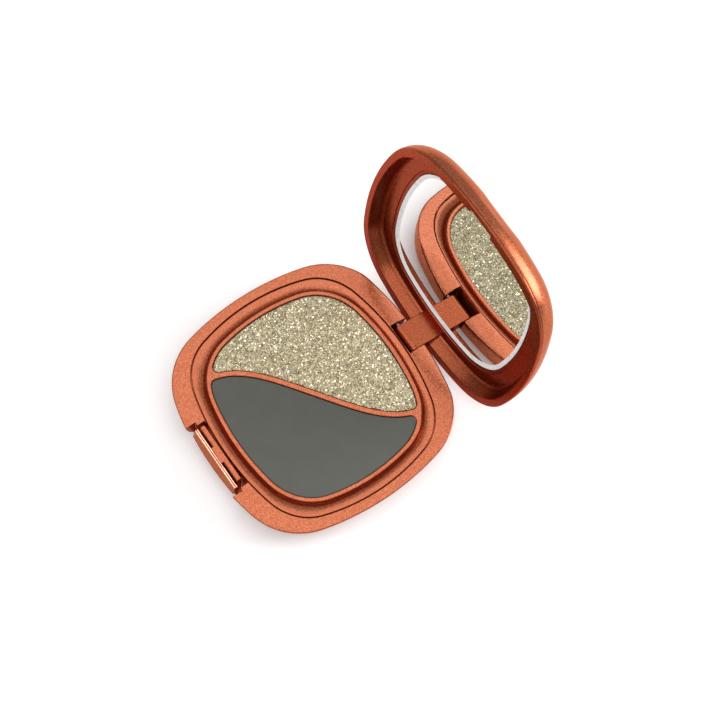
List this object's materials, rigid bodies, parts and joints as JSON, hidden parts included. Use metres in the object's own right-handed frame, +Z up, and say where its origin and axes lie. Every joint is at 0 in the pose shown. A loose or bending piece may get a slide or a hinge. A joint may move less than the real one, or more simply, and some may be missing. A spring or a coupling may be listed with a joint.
{
  "type": "eyeshadow compact",
  "caption": "Rounded-square hinged compact with a mirror lid, a dished tray and eyeshadow pans split by an S-shaped divider.",
  "frame": {"origin": "centre of the flat underside of the base", "axes": "+Z up out of the base, X along the hinge axis, -Y towards the latch side that opens"},
  "size_m": [0.062, 0.0815, 0.0628],
  "materials": {
    "case_paint": "satin copper lacquer over moulded plastic",
    "pan_metal": "pressed sheet",
    "gold_glitter": "pressed glitter powder",
    "grey_powder": "pressed matte powder",
    "glue": "set adhesive pad",
    "foam_tape": "double-sided tape",
    "pin_steel": "drawn wire",
    "label_film": "blank film",
    "mirror_glass": "polished"
  },
  "bodies": {
    "base": {"base_shell": "case_paint", "pan_tray": "case_paint", "latch_tongue": "case_paint", "gold_pan": "pan_metal", "grey_pan": "pan_metal", "gold_powder": "gold_glitter", "grey_powder": "grey_powder", "gold_pan_glue": "glue", "grey_pan_glue": "glue", "hinge_pin": "pin_steel", "bottom_label": "label_film"},
    "lid": {"lid_frame": "case_paint", "lid_cover": "case_paint", "mirror": "mirror_glass", "mirror_tape": "foam_tape"}
  },
  "joints": [
    {"name": "lid_hinge", "type": "hinge", "parent": "base", "child": "lid", "pos_m": [0, 0.0284, 0.0054], "axis": [1, 0, 0], "range_deg": [0, 101.8]}
  ]
}
